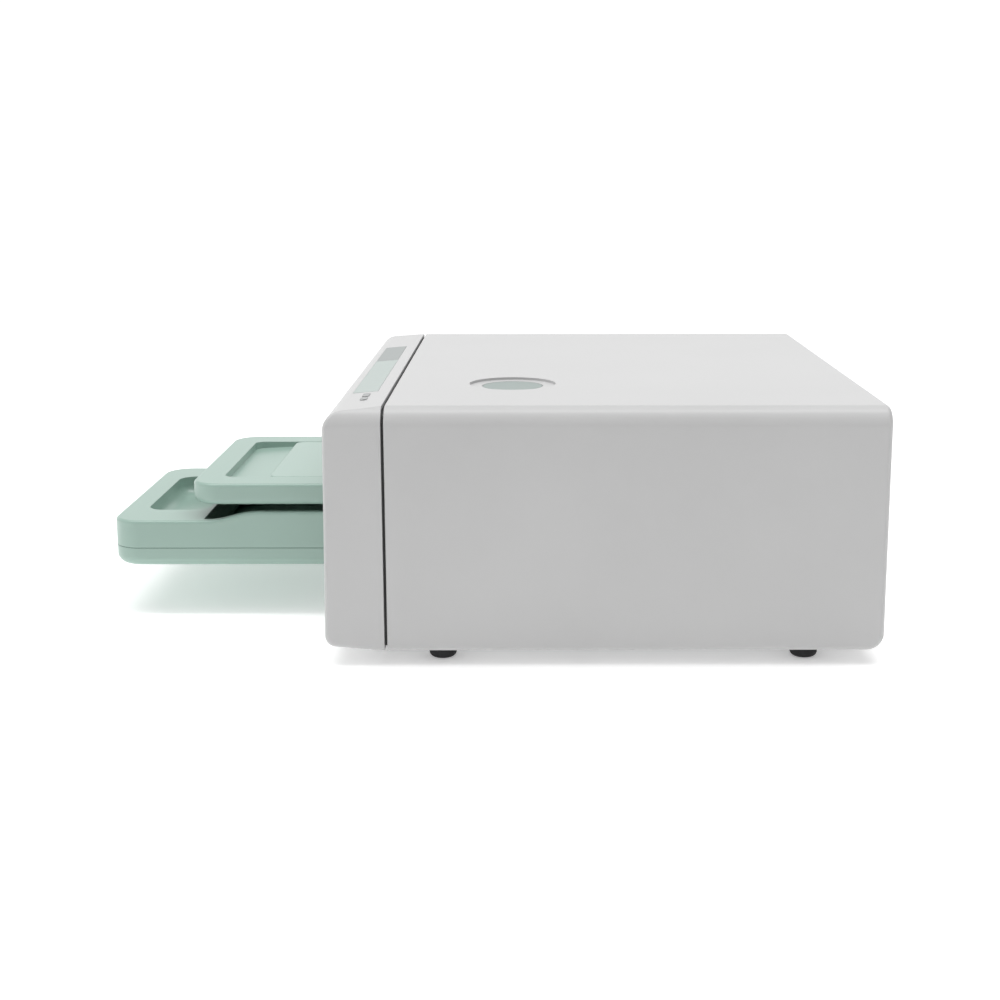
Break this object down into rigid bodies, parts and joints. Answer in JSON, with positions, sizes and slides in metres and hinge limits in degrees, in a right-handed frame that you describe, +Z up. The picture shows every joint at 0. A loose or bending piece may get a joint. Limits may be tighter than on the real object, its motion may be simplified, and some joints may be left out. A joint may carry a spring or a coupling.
{
  "type": "flatbed uv printer",
  "caption": "Wide low desktop UV flatbed printer: rounded pale casing, sliding platen tray over a grip drawer, lifting gantry with print carriage, ink, cap and power parts inside.",
  "frame": {"origin": "on the table, under the middle of the whole machine with its trays out", "axes": "+X right as seen from the front, +Y to the back, +Z up; the trays come out towards -Y"},
  "size_m": [0.463, 0.583, 0.186],
  "materials": {
    "casing_plastic": "fine satin light grey",
    "foot_rubber": "black rubber",
    "plated_steel": "zinc-plated sheet steel",
    "steel": "turned and ground steel",
    "display_glass": "grey smoked window",
    "touch_plastic": "pale mint touch strip",
    "mark_ink": "grey marks",
    "button_plastic": "mint-grey gloss",
    "board_green": "circuit board",
    "black_plastic": "black moulded plastic",
    "grey_plastic": "grey moulded plastic",
    "tray_plastic": "pale mint moulded plastic",
    "drawer_plastic": "pale mint moulded plastic",
    "anodised": "anodised aluminium",
    "belt_rubber": "toothed belt",
    "motor_black": "motor",
    "seal_rubber": "soft seal",
    "lamp_glass": "lamp lens",
    "tank_plastic": "translucent tank",
    "cap_plastic": "screw caps",
    "head_metal": "print head",
    "waste_plastic": "waste box"
  },
  "bodies": {
    "casing": {"housing": "casing_plastic", "front_panel": "casing_plastic", "seam_ring": "grey_plastic", "base_pan": "plated_steel", "feet": "foot_rubber", "chassis_screws": "steel", "display_window": "display_glass", "touch_strip": "touch_plastic", "panel_marks": "mark_ink", "control_board": "board_green", "button_bracket": "grey_plastic", "bed_frame": "plated_steel", "drawer_runners": "black_plastic", "platen_rails": "anodised", "y_belt": "belt_rubber", "y_motor": "motor_black", "lift_posts": "plated_steel", "guide_rods": "steel", "z_motors": "motor_black", "cleaning_station": "black_plastic", "waste_box": "waste_plastic", "ink_tanks": "tank_plastic", "ink_caps": "cap_plastic", "electronics_shelf": "plated_steel", "main_board": "board_green", "power_supply": "plated_steel", "power_inlet": "black_plastic", "fan_frame": "black_plastic"},
    "drawer": {"drawer_tub": "drawer_plastic", "drawer_top": "drawer_plastic"},
    "platen": {"platen_tray": "tray_plastic", "platen_plate": "anodised", "plate_screws": "steel", "platen_shoes": "black_plastic"},
    "bed_pulley_rear": {"y_drive_pulley": "anodised"},
    "bed_pulley_front": {"y_idler_pulley": "anodised"},
    "gantry": {"gantry_ends": "anodised", "gantry_beam": "anodised", "x_rail": "steel", "x_belt": "belt_rubber", "x_motor": "motor_black"},
    "carriage": {"carriage_frame": "plated_steel", "carriage_cover": "grey_plastic", "rail_slider": "steel", "print_head": "head_metal", "ink_dampers": "black_plastic", "uv_lamp": "anodised", "lamp_lens": "lamp_glass"},
    "gantry_pulley_left": {"x_drive_pulley": "anodised"},
    "gantry_pulley_right": {"x_idler_pulley": "anodised"},
    "lift_screw_left": {"z_screw_left": "steel"},
    "lift_screw_right": {"z_screw_right": "steel"},
    "cap": {"cap_sled": "grey_plastic", "cap_seal": "seal_rubber"},
    "wiper_unit": {"wiper": "seal_rubber"},
    "button": {"power_button": "button_plastic"},
    "rocker": {"switch_rocker": "black_plastic"},
    "door": {"ink_door": "casing_plastic"},
    "fan": {"fan_rotor": "black_plastic"}
  },
  "joints": [
    {"name": "drawer_slide", "type": "slide", "parent": "casing", "child": "drawer", "axis": [0, 1, 0], "range_m": [0, 0.182]},
    {"name": "platen_slide", "type": "slide", "parent": "casing", "child": "platen", "axis": [0, 1, 0], "range_m": [-0.06, 0.15]},
    {"name": "bed_pulley_rear_spin", "type": "hinge", "parent": "casing", "child": "bed_pulley_rear", "pos_m": [0.1105, 0.2215, 0.0765], "axis": [1, 0, 0], "continuous": true},
    {"name": "bed_pulley_front_spin", "type": "hinge", "parent": "casing", "child": "bed_pulley_front", "pos_m": [0.1105, -0.0845, 0.0765], "axis": [1, 0, 0], "continuous": true},
    {"name": "gantry_lift", "type": "slide", "parent": "casing", "child": "gantry", "axis": [0, 0, 1], "range_m": [0, 0.012]},
    {"name": "lift_screw_left_spin", "type": "hinge", "parent": "casing", "child": "lift_screw_left", "pos_m": [-0.2095, 0.0725, 0.1075], "axis": [0, 0, 1], "continuous": true},
    {"name": "lift_screw_right_spin", "type": "hinge", "parent": "casing", "child": "lift_screw_right", "pos_m": [0.2095, 0.0725, 0.1075], "axis": [0, 0, 1], "continuous": true},
    {"name": "carriage_slide", "type": "slide", "parent": "gantry", "child": "carriage", "axis": [1, 0, 0], "range_m": [-0.27, 0]},
    {"name": "gantry_pulley_left_spin", "type": "hinge", "parent": "gantry", "child": "gantry_pulley_left", "pos_m": [-0.1775, 0.0265, 0.1465], "axis": [0, 1, 0], "continuous": true},
    {"name": "gantry_pulley_right_spin", "type": "hinge", "parent": "gantry", "child": "gantry_pulley_right", "pos_m": [0.1775, 0.0265, 0.1465], "axis": [0, 1, 0], "continuous": true},
    {"name": "cap_lift", "type": "slide", "parent": "casing", "child": "cap", "axis": [0, 0, 1], "range_m": [-0.006, 0]},
    {"name": "wiper_lift", "type": "slide", "parent": "casing", "child": "wiper_unit", "axis": [0, 0, 1], "range_m": [0, 0.0015]},
    {"name": "button_press", "type": "slide", "parent": "casing", "child": "button", "axis": [0, 0, -1], "range_m": [0, 0.0015], "stiffness_N_per_m": 600},
    {"name": "rocker_tilt", "type": "hinge", "parent": "casing", "child": "rocker", "pos_m": [0.15, 0.2855, 0.042], "axis": [1, 0, 0], "range_deg": [-8, 8]},
    {"name": "door_hinge", "type": "hinge", "parent": "casing", "child": "door", "pos_m": [-0.2301, 0.1935, 0.0642], "axis": [0, 1, 0], "range_deg": [-95, 0]},
    {"name": "fan_spin", "type": "hinge", "parent": "casing", "child": "fan", "pos_m": [-0.165, 0.2815, 0.142], "axis": [0, 1, 0], "continuous": true}
  ],
  "couplings": [
    {"joint": "bed_pulley_rear_spin", "follows": "platen_slide", "rad_per_m": -166.67},
    {"joint": "bed_pulley_front_spin", "follows": "platen_slide", "rad_per_m": -166.67},
    {"joint": "lift_screw_left_spin", "follows": "gantry_lift", "rad_per_m": 3141.6},
    {"joint": "lift_screw_right_spin", "follows": "gantry_lift", "rad_per_m": 3141.6},
    {"joint": "gantry_pulley_left_spin", "follows": "carriage_slide", "rad_per_m": -142.86},
    {"joint": "gantry_pulley_right_spin", "follows": "carriage_slide", "rad_per_m": -142.86}
  ]
}
